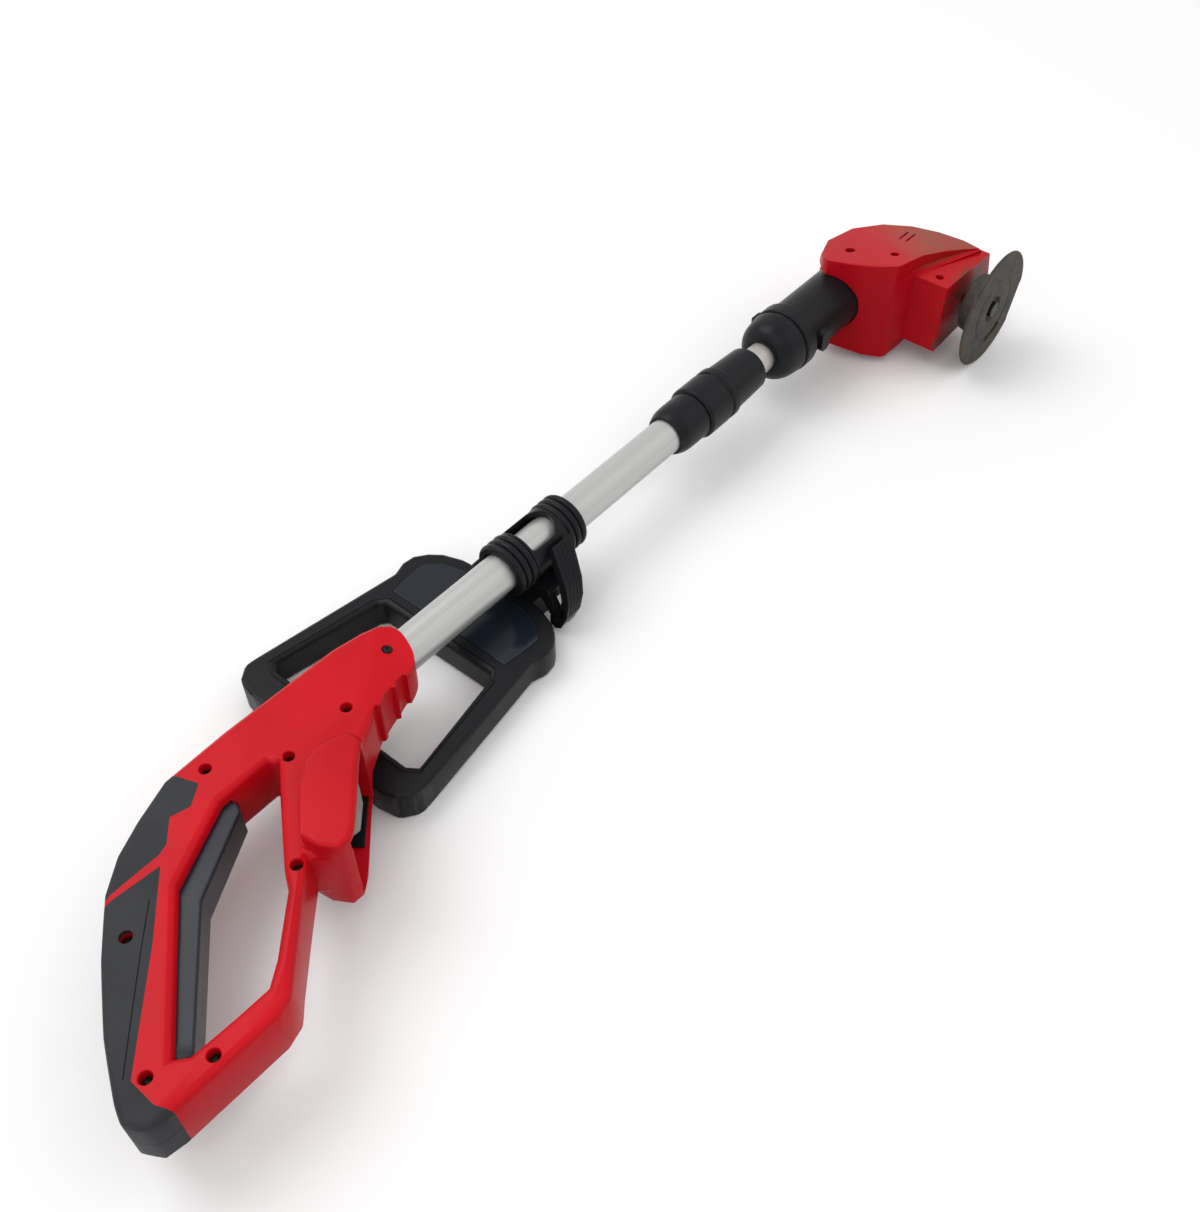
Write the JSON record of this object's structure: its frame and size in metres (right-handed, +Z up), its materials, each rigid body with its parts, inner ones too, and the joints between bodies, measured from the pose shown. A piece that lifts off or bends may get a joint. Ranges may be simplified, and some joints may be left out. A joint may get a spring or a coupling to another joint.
{
  "type": "cordless string trimmer",
  "caption": "Cordless string trimmer with a D-shaped rear handle, telescopic tube, folding auxiliary handle on a tube clamp, and a tilting motor head with a flat cutting disc.",
  "frame": {"origin": "middle of the bounding box on the floor, with the tool lying on its left side on the folded auxiliary handle and the disc's rim", "axes": "+X along the tube towards the motor head, +Y towards the tool's top side, +Z up, which is the tool's right side"},
  "size_m": [0.84, 0.207, 0.091],
  "materials": {
    "red_shell": "moulded ABS with a fine satin grain, light scuffs",
    "soft_grip": "overmoulded soft elastomer, matt",
    "black_nylon": "glass-filled nylon, fine grain",
    "dark_blue_plastic": "semi-gloss dark blue-black ABS",
    "black_rubber": "matt rubber",
    "grey_plastic": "light grey nylon",
    "grey_disc": "grey glass-filled nylon, worn and dusty",
    "anodised_tube": "satin anodised tube",
    "zinc_steel": "zinc plated steel",
    "contact_brass": "bare contact brass"
  },
  "bodies": {
    "tool": {"handle_shell_right": "red_shell", "handle_shell_left": "red_shell", "grip_inlay_upper_right": "soft_grip", "grip_inlay_upper_left": "soft_grip", "grip_inlay_lower_right": "soft_grip", "grip_inlay_lower_left": "soft_grip", "handle_screw_rear": "zinc_steel", "handle_screw_bay": "zinc_steel", "handle_screw_front": "zinc_steel", "handle_screw_collar": "zinc_steel", "handle_screw_upright": "zinc_steel", "handle_screw_beam": "zinc_steel", "handle_screw_heel": "zinc_steel", "handle_screw_grip": "zinc_steel", "trigger_pin": "zinc_steel", "power_switch": "black_nylon", "battery_rail": "black_nylon", "terminal_block": "grey_plastic", "terminal_blade_positive": "contact_brass", "terminal_blade_negative": "contact_brass", "motor_lead": "black_rubber", "outer_tube": "anodised_tube", "clamp_base": "black_nylon", "clamp_collet": "dark_blue_plastic"},
    "trigger": {"trigger": "dark_blue_plastic", "trigger_spring": "zinc_steel"},
    "lock_button": {"lock_off_button": "dark_blue_plastic"},
    "clamp_liner": {"clamp_liner": "black_rubber"},
    "tube_clamp": {"clamp_saddle": "black_nylon", "lever_pin": "zinc_steel", "handle_hinge_pin": "zinc_steel"},
    "cam_lever": {"cam_lever": "black_nylon"},
    "aux_handle": {"aux_handle_frame": "black_nylon", "aux_handle_panel_top": "dark_blue_plastic", "aux_handle_panel_under": "dark_blue_plastic"},
    "twist_sleeve": {"twist_sleeve": "black_nylon"},
    "inner_tube": {"inner_tube": "anodised_tube", "tube_end_cone": "black_nylon"},
    "neck": {"neck_barrel": "black_nylon"},
    "catch_button": {"catch_button": "black_nylon"},
    "motor_head": {"head_shell_right": "red_shell", "head_shell_left": "red_shell", "head_screw_wall": "zinc_steel", "head_screw_skirt": "zinc_steel", "head_pivot_pin": "zinc_steel", "motor_can": "zinc_steel", "shaft_bearing": "zinc_steel"},
    "cutter": {"motor_shaft": "zinc_steel", "cooling_fan": "black_nylon", "cutting_disc": "grey_disc", "disc_nut": "zinc_steel"}
  },
  "joints": [
    {"name": "trigger_squeeze", "type": "hinge", "parent": "tool", "child": "trigger", "pos_m": [-0.3865, -0.068, 0.046], "axis": [0, 0, 1], "range_deg": [0, 3.15], "stiffness_Nm_per_rad": 3, "springref_deg": -2.86},
    {"name": "lock_off_press", "type": "slide", "parent": "tool", "child": "lock_button", "axis": [0.4274, -0.9041, 0], "range_m": [0, 0.003], "stiffness_N_per_m": 600, "springref_m": -0.003},
    {"name": "clamp_slide", "type": "slide", "parent": "tool", "child": "clamp_liner", "axis": [1, 0, 0], "range_m": [0, 0.08]},
    {"name": "clamp_turn", "type": "hinge", "parent": "clamp_liner", "child": "tube_clamp", "pos_m": [-0.065, 0.0185, 0.046], "axis": [1, 0, 0], "range_deg": [0, 90]},
    {"name": "cam_lever_open", "type": "hinge", "parent": "tube_clamp", "child": "cam_lever", "pos_m": [-0.0515, -0.012, 0.01], "axis": [1, 0, 0], "range_deg": [0, 100]},
    {"name": "aux_handle_fold", "type": "hinge", "parent": "tube_clamp", "child": "aux_handle", "pos_m": [-0.04, 0.0295, 0.0105], "axis": [0, -1, 0], "range_deg": [0, 110]},
    {"name": "twist_sleeve_turn", "type": "hinge", "parent": "tool", "child": "twist_sleeve", "pos_m": [0.13, 0.0185, 0.046], "axis": [1, 0, 0], "range_deg": [0, 90]},
    {"name": "tube_extend", "type": "slide", "parent": "tool", "child": "inner_tube", "axis": [1, 0, 0], "range_m": [0, 0.2]},
    {"name": "neck_turn", "type": "hinge", "parent": "inner_tube", "child": "neck", "pos_m": [0.251, 0.0185, 0.046], "axis": [1, 0, 0], "range_deg": [0, 180]},
    {"name": "neck_catch_press", "type": "slide", "parent": "neck", "child": "catch_button", "axis": [0, 1, 0], "range_m": [0, 0.003], "stiffness_N_per_m": 600, "springref_m": -0.003},
    {"name": "head_tilt", "type": "hinge", "parent": "neck", "child": "motor_head", "pos_m": [0.327, 0.0185, 0.046], "axis": [0, 0, 1], "range_deg": [0, 50]},
    {"name": "cutter_spin", "type": "hinge", "parent": "motor_head", "child": "cutter", "pos_m": [0.375, -0.083, 0.046], "axis": [0, -1, 0], "continuous": true}
  ]
}
